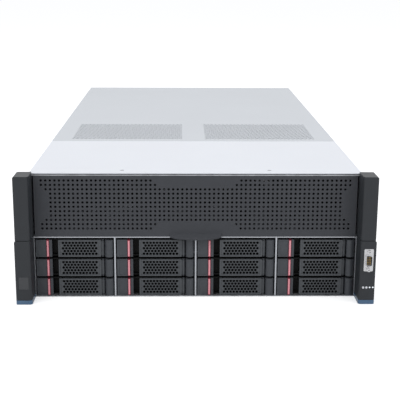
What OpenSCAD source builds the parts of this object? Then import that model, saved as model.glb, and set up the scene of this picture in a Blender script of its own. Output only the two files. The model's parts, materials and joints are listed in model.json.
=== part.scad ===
// Rack server for graphics cards, four rack units high.
// Twelve drive carriers and a perforated grille in front, hollow ears with the front ports,
// a wall of three fans, a processor board, eight cards and three power supplies behind.
// X runs to the right, Y to the rear, Z up. All sizes are in millimetres.

/* [Rack ears] */
// Width across the two lower ears
panel_w = 482.6; // [481:0.1:484]
// Height of the top of the ears
panel_h = 176; // [175:0.5:177]
// How far the ears stand in front of the drives
ear_proud = 34; // [28:1:44]
// Width of the front of one lower ear
ear_w = 21.8; // [20.5:0.1:23]
// How much narrower each upper ear is
upper_ear_step = 1.2; // [0.4:0.1:1.4]
// Wall of the moulded ears
ear_wall = 2; // [1.6:0.1:2.4]
// Radius of the inner front edge of an ear
ear_edge_r = 3.5; // [2.6:0.1:3.8]
// Radius of the outer corners of an ear
ear_corner_r = 3; // [2.6:0.1:5]
// Height of the joint between the lower and the upper ears
ear_split_z = 88.6; // [86:0.2:100]
// Height of the coloured tip under each lower ear
ear_tip_h = 5.6; // [4:0.1:8]
// Thickness of the steel flange behind the ears
flange_t = 2; // [1.5:0.1:3]
// Distance across the case between the rack screws
rack_slot_span = 465.1; // [464:0.1:466]
// Distance up the flange between the rack screws
rack_slot_rise = 101.6; // [88:0.1:134]
// Width of a rack slot
rack_slot_w = 6.8; // [6:0.1:7]
// Length of a rack slot
rack_slot_l = 10; // [9:0.1:12]

/* [Case] */
// Width of the case over its covers
case_w = 447; // [445:0.5:449]
// Height of the case
case_h = 174; // [172:0.5:175]
// Depth of the case behind the drive fronts
case_depth = 897; // [880:1:960]
// Thickness of the tray's sheet
tray_t = 1.2; // [1:0.1:1.5]
// Thickness of the covers
cover_t = 1.2; // [1:0.1:1.5]
// Height of the covers' side skirts
skirt_h = 12; // [8:1:20]
// Depth of the front cover
front_cover_l = 234.6; // [234.2:0.2:240]
// Depth of the cross member over the grille
header_l = 26; // [20:1:32]
// Thickness of the rear panel
rear_t = 1.2; // [1:0.1:1.6]
// Distance between the two side fixings for slide rails
rail_pitch = 500; // [400:10:520]
// Distance from the drive fronts to the middle of the side fixings
rail_y = 530; // [500:5:560]
// Diameter of a slide rail fixing
rail_hole_d = 4.2; // [3:0.1:5]

/* [Cover vents] */
// Width of one vent field
vent_w = 180; // [150:1:196]
// Depth of one vent field
vent_l = 147; // [120:1:160]
// Distance from the front cover to the vents
vent_set = 14; // [10:1:30]
// Distance between the two vent fields
vent_apart = 32; // [24:1:40]
// Diameter of a vent hole
vent_d = 4.2; // [3.4:0.1:4.6]
// Distance between vent holes
vent_pitch = 6.6; // [6:0.1:9]

/* [Front grille] */
// Thickness of the grille plate
grille_t = 1.5; // [1.2:0.1:2]
// Depth of the grille's folded rim
grille_rim = 12; // [8:1:16]
// Diameter of a grille hole
grille_d = 3.2; // [2.6:0.1:4]
// Distance between grille holes along a row
grille_pitch_x = 6.1; // [5.6:0.05:8]
// Distance between grille rows
grille_pitch_z = 6.05; // [5.6:0.05:8]
// Plain border under the lowest row of holes
grille_border = 11.4; // [9:0.1:14]
// Width of the finger lip at its root
lip_w = 70; // [50:1:90]
// Length of the finger lip
lip_l = 12; // [8:0.5:14]
// How far the finger lip leans out from the plate, in degrees
lip_lean = 60; // [50:1:70]

/* [Drive cage] */
// Columns of drives
columns = 4; // [2:1:4]
// Rows of drives
rows = 3; // [2:1:3]
// Distance between rows
row_pitch = 27.5; // [27.4:0.1:28.4]
// Thickness of the upright dividers
divider_t = 2; // [1.5:0.1:2.4]
// Thickness of the cage's side and top plates
cage_t = 1.5; // [1.2:0.1:2]
// Depth of the cage
cage_l = 176; // [174:1:184]
// How far the cage edges stand in front of the carriers
cage_proud = 0.5; // [0:0.1:1]

/* [Drive carriers] */
// Width of a drive
disk_w = 101.6; // [100:0.1:101.6]
// Height of a drive
disk_h = 26.1; // [24:0.1:26.1]
// Length of a drive
disk_l = 147; // [140:0.5:147]
// Height of a carrier's front
carrier_h = 24.2; // [23:0.1:24.4]
// Depth of a carrier's front moulding
carrier_front_l = 20; // [19:0.5:22]
// Gap between a carrier's front and a divider
carrier_side_gap = 1.6; // [1.2:0.1:2]
// Thickness of a carrier's side rails
carrier_rail_t = 1.5; // [1.2:0.1:1.5]
// Height of a carrier's side rails
carrier_rail_h = 20; // [12:1:22]
// Width of the plain block at the left of a carrier
label_block_w = 14.4; // [12:0.1:16]
// Width of the latch bar
latch_w = 3.2; // [2.6:0.1:4]
// Width of the ledge beside the latch
ledge_w = 3.7; // [3:0.1:5]
// Width of the finger recess
recess_w = 8.6; // [8:0.1:10]
// Depth of the finger recess
recess_l = 12; // [9:0.5:14]
// Width of the rounded block at the right of a carrier
end_block_w = 11; // [9:0.1:12]
// How far the rounded block swells forwards
end_block_swell = 2.2; // [1:0.1:2.4]
// Diameter of the lever's pin
lever_pin_d = 2.4; // [2:0.1:2.8]
// Depth of the lever's frame
lever_l = 5; // [4:0.1:5.4]
// Thickness of the lever's grille
lever_grille_t = 1.2; // [0.8:0.1:1.6]
// Width of a grille cell across its flats
cell_w = 3.5; // [3:0.1:4]
// Distance between grille cells
cell_pitch = 4.5; // [4.3:0.1:6]
// How far the latch pushes in
latch_travel = 1.5; // [0.5:0.1:1.8]

/* [Ports and buttons] */
// Distance of the display port from the ear's outer edge
port_inset = 10.4; // [9.6:0.1:11]
// Height of the display port's centre
port_z = 62.5; // [50:0.5:68]
// Length of the display port's flange
port_flange_l = 31; // [30.8:0.1:33]
// Width of the display port's flange
port_flange_w = 12.5; // [11:0.1:13]
// How far the port's screws stand in front of the ear
port_proud = 5.8; // [5:0.1:7]
// Diameter of the front buttons
button_d = 3; // [2.4:0.1:3.2]
// Distance between the front buttons
button_pitch = 4.4; // [4.2:0.1:4.5]
// Height of the row of front buttons
button_z = 24; // [14:0.5:40]
// How far a front button pushes in
button_travel = 0.6; // [0.3:0.1:1]

/* [Fans] */
// Width and height of a fan
fan_w = 120; // [110:1:130]
// Depth of a fan
fan_l = 38; // [32:1:40]
// Diameter of a fan's bore
fan_bore = 115; // [100:1:116]
// Diameter of a fan's hub
fan_hub_d = 46; // [40:1:52]
// Diameter of a fan's shaft
fan_shaft_d = 4; // [3:0.1:5]
// Blades on a fan
fan_blades = 7; // [5:1:9]
// Distance between the fans' centres
fan_pitch = 138; // [132:1:144]
// Distance from the drive cage to the fan wall
fan_set = 16; // [14:1:18]

/* [Boards and cards] */
// Width of the processor board
board_w = 330; // [305:1:360]
// Length of the processor board
board_l = 330; // [305:1:336]
// Thickness of the boards
board_t = 1.6; // [1.2:0.1:2.4]
// Height of the boards' standoffs
standoff_h = 6; // [5:0.5:8]
// Length of a memory module
memory_l = 133; // [120:1:134]
// Height of a memory module
memory_h = 31; // [18:1:34]
// Distance between memory slots
memory_pitch = 7.5; // [7:0.1:7.6]
// Height of a processor heatsink
heatsink_h = 64; // [40:1:90]
// Number of graphics cards
cards = 8; // [4:1:8]
// Distance between the cards
card_pitch = 48; // [44:0.5:52]
// Width of a card
card_w = 38; // [34:0.5:39]
// Height of a card
card_h = 108; // [98:1:110]
// Length of a card
card_l = 267; // [240:1:270]

/* [Power supplies] */
// Number of power supplies
supplies = 3; // [1:1:3]
// Width of a power supply
supply_w = 73.5; // [70:0.5:75]
// Height of a power supply
supply_h = 40; // [38:0.5:41]
// Length of a power supply
supply_l = 185; // [180:1:190]
// How far a supply's handle stands out at the rear
handle_proud = 18; // [14:1:24]

/* [Clearances] */
// Gap between parts that slide or lift off and their seats
seat_gap = 0.3; // [0.2:0.05:0.4]
// Gap between a cover's skirt and the tray's wall
skirt_gap = 0.3; // [0.2:0.05:0.5]
// Radial gap between a pin and its bore
pin_gap = 0.05; // [0.02:0.01:0.08]
// Gap between the two covers
cover_gap = 0.8; // [0.4:0.1:1.2]

/* [Hidden] */
$fn = 48;
drives = columns * rows;

// The case frame has its zero at the fronts of the carriers; the part's own frame is centred
total_l = port_proud + ear_proud + case_depth + handle_proud;
case_y = port_proud + ear_proud - total_l / 2;

// Case
wall_x = case_w / 2 - cover_t - skirt_gap;
inner_x = wall_x - tray_t;
cover_z = case_h - cover_t;
wall_top = cover_z - seat_gap;
header_z = cover_z - 3 * seat_gap - tray_t;
rear_y = case_depth - 1 - rear_t;

// Ears
ear_front_y = -ear_proud;
ear_out_x = panel_w / 2;
ear_in_x = ear_out_x - ear_w;
flange_x = ear_out_x - upper_ear_step - seat_gap;
rack_slot_z = panel_h / 2;

// Drive cage
cell_w_in = (2 * inner_x - 2 * cage_t - (columns - 1) * divider_t) / columns;
bay_pitch = cell_w_in + divider_t;
carrier_w = cell_w_in - 2 * carrier_side_gap;
row_z0 = tray_t + 0.2;
cage_top_z = row_z0 + rows * row_pitch + 0.1;
disk_lift = 0.2;
disk_y = carrier_front_l + 4;
rail_out = disk_w / 2 + 0.2 + carrier_rail_t;
guide_l = cage_l - carrier_front_l - 8;

// Grille
grille_x = inner_x - 3.2;
grille_y = -flange_t;
grille_z0 = cage_top_z + cage_t + 0.6;
grille_z1 = header_z - 0.5;
grille_rows = floor((grille_z1 - grille_z0 - grille_border - 5) / grille_pitch_z) + 1;
grille_half = floor((grille_x - 9) / grille_pitch_x);
// The lip starts high enough for the drives of the top row to pass under its tip
drives_top = row_z0 + (rows - 1) * row_pitch + disk_lift + disk_h;
lip_z = drives_top + 2 * seat_gap + lip_l * cos(lip_lean) + grille_t * sin(lip_lean);

// Carrier fronts, measured from the left edge of the carrier
slot_w = latch_w + 2 * seat_gap;
ledge_x = label_block_w + slot_w;
recess_x = ledge_x + ledge_w;
grip_x = recess_x + recess_w;
end_block_x = carrier_w - end_block_w;
lever_bore_d = lever_pin_d + 2 * pin_gap;
barrel_r = lever_pin_d / 2 + 1.2;
hinge_x = end_block_x - barrel_r - 0.8;
hinge_y = 4.2;
lug_r = barrel_r - 0.4;
lug_t = 1.7;
lever_end_x = hinge_x - barrel_r;
stem_d = 3;
latch_l = 12;
// Radius that brings the swelling back to the moulding's face at both sides of the block
swell_drop = end_block_swell + 1;
swell_r = (pow(end_block_w / 2, 2) + pow(swell_drop, 2)) / (2 * swell_drop);

// Ports
port_x = ear_out_x - port_inset;
port_screw_span = 25;
port_body_w = 9;
port_body_l = 18;
button_x0 = ear_in_x + ear_edge_r + 2.2;

// Fans
fan_wall_y = cage_l + fan_set;
fan_z = case_h / 2;
spider_t = 4;
spider_y = fan_wall_y + tray_t + fan_l - spider_t;
blade_pitch_angle = 40;
blade_t = 1.8;

// Boards
board_y = fan_wall_y + tray_t + fan_l + 22;
board_z = tray_t + standoff_h;
shelf_z = tray_t + supply_h + 2 * seat_gap + 3;
card_board_z = shelf_z + tray_t + 3;
card_z = card_board_z + board_t + 6;
card_y = rear_y - 1.2 - card_l;
shelf_y = card_y - 20;
bank_slots = 6;
slot_body_w = 6;
bank_w = (bank_slots - 1) * memory_pitch + slot_body_w;

// Supplies
supply_pitch = supply_w + 4.5;
supply_y = case_depth - supply_l;
supply_z = tray_t + seat_gap;

// Rear ports, in the width left beside the supplies
port_plate_x0 = -inner_x + 3 + supplies * supply_pitch + 12;
port_plate_w = inner_x - 8 - port_plate_x0;
port_board_z = 8;
socket_l = 18;
// Each socket: [centre across the plate, width, height]
rear_ports = [
    [0.08, 16, 13.5],
    [0.2, 16, 13.5],
    [0.34, 13, 15],
    [0.48, 16, 13.5],
    [0.6, 16, 13.5],
    [0.82, 31, 12.5]
];
air_hole_d = 3.6;
air_hole_pitch = 5.5;

// A box between two corners
module block(from, to) {
    translate(from)
        cube(to - from);
}

// Stands an outline, drawn across and up, on edge from y to y + t
module upright(y, t) {
    translate([0, y + t, 0])
        rotate([90, 0, 0])
            linear_extrude(t)
                children();
}

// Draws its children on the left and on the right
module both_sides() {
    children();
    mirror([1, 0, 0])
        children();
}

// Moves the case frame into the part's own frame
module in_case() {
    translate([0, case_y, 0])
        children();
}

// Rectangle with round corners, centred on the origin
module round_rect(w, h, r) {
    square([w - 2 * r, h], center = true);
    square([w, h - 2 * r], center = true);
    for (x = [-1, 1], y = [-1, 1])
        translate([x * (w / 2 - r), y * (h / 2 - r)])
            circle(r);
}

// Slot with round ends, centred on the origin, long side across
module slot(l, w) {
    square([l - w, w], center = true);
    for (s = [-1, 1])
        translate([s * (l - w) / 2, 0])
            circle(d = w);
}

// Staggered field of shapes that fills a rectangle centred on the origin
module staggered(w, h, pitch, d) {
    rise = pitch * sqrt(3) / 2;
    half_cols = floor((w / 2 - d / 2) / pitch);
    half_rows = floor((h / 2 - d / 2) / rise);
    for (j = [-half_rows:half_rows]) {
        odd = abs(j) % 2;
        for (i = [-half_cols:half_cols - odd])
            translate([(i + odd / 2) * pitch, j * rise])
                children();
    }
}

// ---- Case ----

// Slots for the rack screws in one flange
module rack_slots() {
    for (s = [-1, 1])
        translate([rack_slot_span / 2, rack_slot_z + s * rack_slot_rise / 2])
            slot(rack_slot_l, rack_slot_w);
}

// Wall of the tray on the right, with the flange that is folded out of its front
module tray_side() {
    difference() {
        block([inner_x, -flange_t, 0], [wall_x, case_depth - 1, wall_top]);
        for (s = [-1, 1])
            translate([inner_x - 1, rail_y + s * rail_pitch / 2, case_h / 2])
                rotate([0, 90, 0])
                    cylinder(d = rail_hole_d, h = tray_t + 2);
    }
    upright(-flange_t, flange_t)
        difference() {
            translate([wall_x, tray_t])
                square([flange_x - wall_x, wall_top - tray_t]);
            rack_slots();
        }
}

// Shelf under the cards, with the upright partitions of the supply bays
module supply_bays() {
    block([-inner_x, shelf_y, shelf_z], [inner_x, rear_y, shelf_z + tray_t]);
    for (n = [1:supplies])
        translate([-inner_x + 3 + n * supply_pitch, supply_y - 12, tray_t])
            cube([1, rear_y - supply_y + 12, shelf_z - tray_t]);
}

module chassis_tray() {
    color("gainsboro") in_case() {
        block([-wall_x, -flange_t, 0], [wall_x, case_depth - 1, tray_t]);
        both_sides()
            tray_side();
        // cross member over the grille
        block([-inner_x, -flange_t, header_z], [inner_x, header_l, header_z + tray_t]);
        supply_bays();
    }
}

// Skirts that hang from the edges of a cover
module skirts(y0, y1) {
    both_sides()
        block([case_w / 2 - cover_t, y0, cover_z - skirt_h], [case_w / 2, y1, cover_z]);
}

module front_cover() {
    color("whitesmoke") in_case() {
        skirts(2, front_cover_l);
        difference() {
            block([-case_w / 2, 0, cover_z], [case_w / 2, front_cover_l, case_h]);
            // seats of the two cover screws
            for (s = [-1, 1])
                translate([s * 100, 18, case_h - 0.5])
                    cylinder(d1 = 6, d2 = 8.4, h = 1.2);
        }
    }
}

// Two perforated fields side by side
module cover_vents() {
    for (s = [-1, 1])
        translate([s * (vent_w + vent_apart) / 2, vent_set + vent_l / 2])
            staggered(vent_w, vent_l, vent_pitch, vent_d)
                circle(d = vent_d);
}

module rear_cover() {
    y0 = front_cover_l + cover_gap;
    color("gainsboro") in_case() {
        skirts(y0, case_depth);
        translate([0, y0, cover_z])
            linear_extrude(cover_t)
                difference() {
                    translate([-case_w / 2, 0])
                        square([case_w, case_depth - y0]);
                    cover_vents();
                }
    }
}

// ---- Rear ----

// Openings of the rear panel, drawn across and up
module rear_openings() {
    for (n = [0:supplies - 1])
        translate([supply_x(n) - supply_w / 2 - 0.5, tray_t + 0.2])
            square([supply_w + 1, supply_h + 1]);
    for (n = [0:cards - 1])
        translate([card_x(n) - card_w / 2 + 1, card_z - 2])
            square([card_w - 2, card_h - 2]);
    translate([port_plate_x0, 6])
        square([port_plate_w, 20]);
    translate([port_plate_x0 + port_plate_w / 2, 36])
        staggered(port_plate_w, 14, air_hole_pitch, air_hole_d)
            circle(d = air_hole_d);
}

module rear_panel() {
    color("silver") in_case() {
        upright(rear_y, rear_t)
            difference() {
                translate([-inner_x, tray_t])
                    square([2 * inner_x, wall_top - tray_t]);
                rear_openings();
            }
        // port board with its sockets
        translate([port_plate_x0 - 2, rear_y - 60, port_board_z])
            cube([port_plate_w + 4, 60, board_t]);
        for (p = rear_ports)
            translate([port_plate_x0 + p[0] * port_plate_w, rear_y - socket_l, port_board_z + board_t])
                difference() {
                    translate([-p[1] / 2, 0, 0])
                        cube([p[1], socket_l + rear_t, p[2]]);
                    translate([-p[1] / 2 + 1, 6, 1])
                        cube([p[1] - 2, 20, p[2] - 2]);
                }
    }
}

// ---- Ears ----

// Plan of an ear: round front edges, open at the back
module ear_plan(x0, x1, y0, y1, r_in, r_out) {
    translate([x0 + r_in, y0])
        square([x1 - r_out - x0 - r_in, y1 - y0]);
    translate([x0, y0 + r_in])
        square([r_in, y1 - y0 - r_in]);
    translate([x1 - r_out, y0 + r_out])
        square([r_out, y1 - y0 - r_out]);
    translate([x0 + r_in, y0 + r_in])
        circle(r_in);
    translate([x1 - r_out, y0 + r_out])
        circle(r_out);
}

// Front outline of an ear whose top outer corner is round
module ear_outline(x0, x1, z0, z1) {
    translate([x0, z0])
        square([x1 - x0 - ear_corner_r, z1 - z0]);
    translate([x0, z0])
        square([x1 - x0, z1 - z0 - ear_corner_r]);
    translate([x1 - ear_corner_r, z1 - ear_corner_r])
        circle(ear_corner_r);
}

// Moulded ear on the right, hollow and open towards the flange
module ear_shell(x1, z0, z1) {
    x0 = ear_in_x;
    y0 = ear_front_y;
    w = ear_wall;
    difference() {
        intersection() {
            translate([0, 0, z0])
                linear_extrude(z1 - z0)
                    ear_plan(x0, x1, y0, -flange_t, ear_edge_r, 2.5);
            upright(y0 - 1, ear_proud + 2)
                ear_outline(x0 - 1, x1, z0, z1);
        }
        translate([0, 0, z0 + w])
            linear_extrude(z1 - z0 - 2 * w)
                ear_plan(x0 + w, x1 - w, y0 + w, 1, ear_edge_r - w, 0.5);
    }
}

module upper_ears() {
    color([0.23, 0.24, 0.25]) in_case()
        both_sides()
            ear_shell(ear_out_x - upper_ear_step, ear_split_z + 0.8, panel_h);
}

// Lower ear on the right, without its ports
module lower_ear() {
    ear_shell(ear_out_x, ear_tip_h + 0.6, ear_split_z);
}

module lower_ear_left() {
    color([0.23, 0.24, 0.25]) in_case()
        difference() {
            mirror([1, 0, 0])
                lower_ear();
            // plain recessed field for an inlay
            translate([-ear_out_x + 11, ear_front_y, 30])
                cube([14, 0.8, 18], center = true);
        }
}

module lower_ear_right() {
    color([0.23, 0.24, 0.25]) in_case()
        difference() {
            lower_ear();
            upright(ear_front_y - 1, ear_wall + 2) {
                translate([port_x, port_z])
                    round_rect(port_body_w + 2 * seat_gap, port_body_l + 2 * seat_gap, 1);
                for (n = [0, 1])
                    translate([button_x0 + n * button_pitch, button_z])
                        circle(d = button_d + 0.3);
            }
        }
}

module ear_tips() {
    color([0.25, 0.5, 0.68]) in_case()
        both_sides()
            translate([0, 0, 0.3])
                linear_extrude(ear_tip_h)
                    ear_plan(ear_in_x, ear_out_x, ear_front_y, -flange_t, ear_edge_r, 2.5);
}

// ---- Ports and buttons ----

// Outline of the display port's shell, grown by g; its long side is upright
module port_shell(g) {
    hull()
        for (s = [-1, 1]) {
            translate([-2.2, s * 5.9])
                circle(r = 1.6 + g, $fn = 24);
            translate([2.2, s * 5.1])
                circle(r = 1.6 + g, $fn = 24);
        }
}

module vga_port() {
    y0 = ear_front_y;
    color("silver") in_case()
        translate([port_x, 0, port_z]) {
            upright(y0 - 0.8, 0.8)
                round_rect(port_flange_w, port_flange_l, 1.5);
            upright(y0 - 0.8, 9)
                round_rect(port_body_w, port_body_l, 1);
            upright(y0 - port_proud + 0.4, port_proud - 1)
                difference() {
                    port_shell(0.6);
                    port_shell(0);
                }
            // screw posts
            for (s = [-1, 1])
                translate([0, y0 - port_proud, s * port_screw_span / 2])
                    rotate([-90, 0, 0])
                        difference() {
                            cylinder(d = 5.4, h = port_proud - 0.8, $fn = 6);
                            translate([0, 0, -1])
                                cylinder(d = 2.4, h = port_proud - 1);
                        }
        }
}

// Front button n, counted from the inner edge of the ear
module front_button(n) {
    y0 = ear_front_y;
    in_case()
        translate([button_x0 + n * button_pitch, 0, button_z])
            rotate([-90, 0, 0]) {
                translate([0, 0, y0 - button_travel])
                    cylinder(d = button_d, h = button_travel + ear_wall + 1.5);
                translate([0, 0, y0 + ear_wall + seat_gap])
                    cylinder(d = button_d + 1, h = 0.8);
            }
}

module power_button() {
    color("white")
        front_button(0);
}

module id_button() {
    color("white")
        front_button(1);
}

// ---- Front grille ----

// Where a grille row starts, in holes from the middle: the top and bottom rows leave the middle plain
function row_start(j) =
    let (edge = min(j, grille_rows - 1 - j))
    edge == 0 ? 10 : edge == 1 ? 9 : 0;

// Where a grille row ends: the rows in between stop short beside the rim
function row_end(j) =
    let (edge = min(j, grille_rows - 1 - j))
    edge < 2 ? grille_half : edge == 2 ? grille_half - 1 : grille_half - 2;

module grille_holes() {
    for (j = [0:grille_rows - 1], i = [-row_end(j):row_end(j)])
        if (abs(i) >= row_start(j))
            translate([i * grille_pitch_x, grille_z0 + grille_border + j * grille_pitch_z])
                circle(d = grille_d);
}

// Lip under the middle of the grille that a hand pulls on, with a bowed edge
module finger_lip() {
    edge = [[0.5, 0.55], [0.4, 0.78], [0.26, 0.93], [0.1, 1]];
    translate([0, grille_y, lip_z])
        rotate([90 - lip_lean, 0, 0])
            translate([0, 0, -grille_t])
                linear_extrude(grille_t)
                    polygon(concat(
                        [[-lip_w / 2, 0], [lip_w / 2, 0]],
                        [for (p = edge) [p[0] * lip_w, -p[1] * lip_l]],
                        [for (k = [3:-1:0]) [-edge[k][0] * lip_w, -edge[k][1] * lip_l]]
                    ));
}

module front_grille() {
    back = grille_y + grille_rim;
    color([0.26, 0.27, 0.29]) in_case() {
        upright(grille_y, grille_t)
            difference() {
                translate([-grille_x, grille_z0])
                    square([2 * grille_x, grille_z1 - grille_z0]);
                grille_holes();
            }
        // rim folded back all round
        block([-grille_x, grille_y, grille_z0], [grille_x, back, grille_z0 + grille_t]);
        block([-grille_x, grille_y, grille_z1 - grille_t], [grille_x, back, grille_z1]);
        both_sides()
            block([grille_x - grille_t, grille_y, grille_z0], [grille_x, back, grille_z1]);
        finger_lip();
    }
}

// ---- Drive cage ----

// Left edge of column i and lowest edge of row j
function bay_x(i) = (i - columns / 2) * bay_pitch + divider_t / 2;
function bay_z(j) = row_z0 + j * row_pitch;

// Guides under the carrier rails, on both sides of one column
module guides(i) {
    guide_w = carrier_side_gap + 1;
    for (j = [0:rows - 1]) {
        z = bay_z(j) - (j == 0 ? row_z0 - tray_t : 0.6);
        for (x = [bay_x(i), bay_x(i) + cell_w_in - guide_w])
            translate([x, carrier_front_l + 5, z])
                cube([guide_w, guide_l, bay_z(j) + 0.7 - z]);
    }
}

module drive_cage() {
    y0 = -cage_proud;
    color("silver") in_case() {
        block([-inner_x, y0, cage_top_z], [inner_x, cage_l, cage_top_z + cage_t]);
        both_sides()
            block([inner_x - cage_t, y0, tray_t], [inner_x, cage_l, cage_top_z]);
        for (i = [1:columns - 1])
            translate([bay_x(i) - divider_t, y0, tray_t])
                cube([divider_t, cage_l - y0, cage_top_z - tray_t]);
        for (i = [0:columns - 1])
            guides(i);
    }
}

module drive_backplane() {
    y0 = cage_l + seat_gap;
    color("darkgreen") in_case() {
        upright(y0, board_t)
            difference() {
                translate([-inner_x + 2, tray_t + 0.3])
                    square([2 * inner_x - 4, cage_top_z - tray_t]);
                // air slots between the rows
                for (i = [0:columns - 1], j = [0:rows - 1], s = [0, 1])
                    translate([bay_x(i) + 8 + s * 66, bay_z(j) + 6])
                        square([22, 14]);
            }
        for (i = [0:columns - 1], j = [0:rows - 1])
            translate([bay_x(i) + cell_w_in / 2 - 21, disk_y + disk_l + 0.4, bay_z(j) + 2])
                cube([42, y0 - disk_y - disk_l - 0.4, 7]);
    }
}

// ---- Drive carriers ----

// Places its children at bay n, with zero at the lower left of the carrier's front
module in_bay(n) {
    translate([bay_x(n % columns) + carrier_side_gap, case_y, bay_z(floor(n / columns))])
        children();
}

// Plan of the parts of the front moulding that have its full height
module carrier_plan() {
    back = carrier_front_l;
    translate([0, 0.4])
        square([label_block_w, back - 0.4]);
    // wall behind the latch
    translate([label_block_w, latch_l + latch_travel + 0.5])
        square([slot_w, back - latch_l - latch_travel - 0.5]);
    translate([ledge_x, 1])
        square([ledge_w, back - 1]);
    translate([recess_x, recess_l])
        square([recess_w, back - recess_l]);
    translate([lever_end_x + 0.4, hinge_y + barrel_r + 1.2])
        square([end_block_x - lever_end_x, back - hinge_y - barrel_r - 1.2]);
    translate([end_block_x, 1.5])
        square([end_block_w, back - 1.5]);
    // swelling front of the right block
    intersection() {
        translate([end_block_x, -end_block_swell])
            square([end_block_w, end_block_swell + 2]);
        translate([end_block_x + end_block_w / 2, swell_r - end_block_swell])
            circle(swell_r);
    }
}

// Lug that holds one end of the lever's pin
module hinge_lug() {
    linear_extrude(lug_t) {
        translate([hinge_x, hinge_y])
            circle(lug_r);
        translate([hinge_x - lug_r, hinge_y])
            square([2 * lug_r, barrel_r + 2]);
    }
}

// Rails that run back beside the drive
module carrier_rails() {
    mid = carrier_w / 2;
    for (x = [mid - rail_out, mid + rail_out - carrier_rail_t])
        translate([x, carrier_front_l - 4, 1])
            cube([carrier_rail_t, disk_y + disk_l + 1 - carrier_front_l + 4, carrier_rail_h]);
}

module drive_carrier(n) {
    color([0.28, 0.29, 0.31]) in_bay(n) {
        difference() {
            linear_extrude(carrier_h)
                carrier_plan();
            // sunk field on the left block
            translate([3, 0, 2.2])
                cube([label_block_w - 3.8, 0.9, carrier_h - 4]);
            // bore for the latch's stem
            translate([label_block_w + slot_w / 2, latch_l, carrier_h / 2])
                rotate([-90, 0, 0])
                    cylinder(d = stem_d + 2 * pin_gap, h = carrier_front_l);
        }
        // bars above and below the open middle
        for (z = [0, carrier_h - 1.6])
            translate([recess_x, lever_l + 2, z])
                cube([end_block_x - recess_x, carrier_front_l - lever_l - 2, 1.6]);
        for (z = [0, carrier_h - lug_t])
            translate([0, 0, z])
                hinge_lug();
        translate([hinge_x, hinge_y, 0.2])
            cylinder(d = lever_pin_d, h = carrier_h - 0.4);
        carrier_rails();
        // drive
        translate([carrier_w / 2 - disk_w / 2, disk_y, disk_lift])
            cube([disk_w, disk_l, disk_h]);
    }
}

// Frame of the lever, drawn across and up
module lever_outline(inset) {
    translate([grip_x + inset, 0.3 + inset])
        square([lever_end_x - grip_x - 2 * inset, carrier_h - 0.6 - 2 * inset]);
}

module carrier_lever(n) {
    border = 2;
    mid_x = (grip_x + lever_end_x) / 2;
    color([0.3, 0.31, 0.33]) in_bay(n) {
        upright(0, lever_l)
            difference() {
                lever_outline(0);
                lever_outline(border);
            }
        // honeycomb between the borders
        upright(1, lever_grille_t)
            difference() {
                lever_outline(border - 0.5);
                translate([mid_x, carrier_h / 2])
                    staggered(lever_end_x - grip_x - 2.4, carrier_h - 4, cell_pitch, cell_w)
                        rotate(30)
                            circle(d = cell_w / cos(30), $fn = 6);
            }
        // grip that the finger pulls on
        translate([grip_x, 0, 0.3])
            cube([border, lever_l + 1, carrier_h - 0.6]);
        // barrel round the pin
        difference() {
            union() {
                translate([hinge_x, hinge_y, lug_t + seat_gap])
                    cylinder(r = barrel_r, h = carrier_h - 2 * lug_t - 2 * seat_gap);
                translate([lever_end_x - border, 2.2, lug_t + seat_gap])
                    cube([hinge_x - lever_end_x + border, lever_l - 2.2, carrier_h - 2 * lug_t - 2 * seat_gap]);
            }
            translate([hinge_x, hinge_y, 0])
                cylinder(d = lever_bore_d, h = carrier_h);
        }
    }
}

module carrier_latch(n) {
    color([0.75, 0.42, 0.47]) in_bay(n)
        translate([label_block_w + slot_w / 2, 0, 0]) {
            translate([-latch_w / 2, -0.2, 0.3])
                cube([latch_w, latch_l, carrier_h - 0.6]);
            // stem with the collar that stops it behind the wall
            translate([0, 1, carrier_h / 2])
                rotate([-90, 0, 0])
                    cylinder(d = stem_d, h = carrier_front_l);
            translate([0, carrier_front_l + seat_gap, carrier_h / 2])
                rotate([-90, 0, 0])
                    cylinder(d = stem_d + 1.8, h = 1);
        }
}

// ---- Fans ----

function fan_x(n) = (n - 1) * fan_pitch;

// Ring and arms of one fan, centred on its shaft
module fan_housing() {
    y0 = fan_wall_y + tray_t;
    upright(y0, fan_l)
        difference() {
            round_rect(fan_w, fan_w, 5);
            circle(d = fan_bore);
        }
    upright(spider_y, spider_t)
        difference() {
            union() {
                circle(d = fan_hub_d + 2);
                for (a = [0:90:270])
                    rotate(a + 20)
                        translate([fan_hub_d / 2 - 2, -2.5])
                            square([fan_bore / 2 - fan_hub_d / 2 + 3, 5]);
            }
            circle(d = fan_shaft_d + 2 * pin_gap);
        }
}

module fan_wall() {
    color("dimgray") in_case() {
        upright(fan_wall_y, tray_t)
            difference() {
                translate([-inner_x, tray_t])
                    square([2 * inner_x, header_z - tray_t - 0.5]);
                for (n = [0:2])
                    translate([fan_x(n), fan_z])
                        circle(d = fan_bore);
            }
        for (n = [0:2])
            translate([fan_x(n), 0, fan_z])
                fan_housing();
    }
}

module fan_rotor(n) {
    tip_r = fan_bore / 2 - 1.5;
    hub_y = fan_wall_y + tray_t + 5;
    hub_l = spider_y - 1 - hub_y;
    chord = 24;
    color([0.15, 0.15, 0.16]) in_case()
        translate([fan_x(n), hub_y, fan_z])
            rotate([-90, 0, 0]) {
                cylinder(d = fan_hub_d, h = hub_l);
                cylinder(d = fan_shaft_d, h = hub_l + 1 + spider_t);
                intersection() {
                    cylinder(r = tip_r, h = hub_l);
                    for (k = [0:fan_blades - 1])
                        rotate(k * 360 / fan_blades)
                            translate([fan_hub_d / 2 - 2, 0, hub_l / 2])
                                rotate([blade_pitch_angle, 0, 0])
                                    translate([0, -blade_t / 2, -chord / 2])
                                        cube([tip_r, blade_t, chord]);
                }
            }
}

// ---- Boards and cards ----

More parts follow.
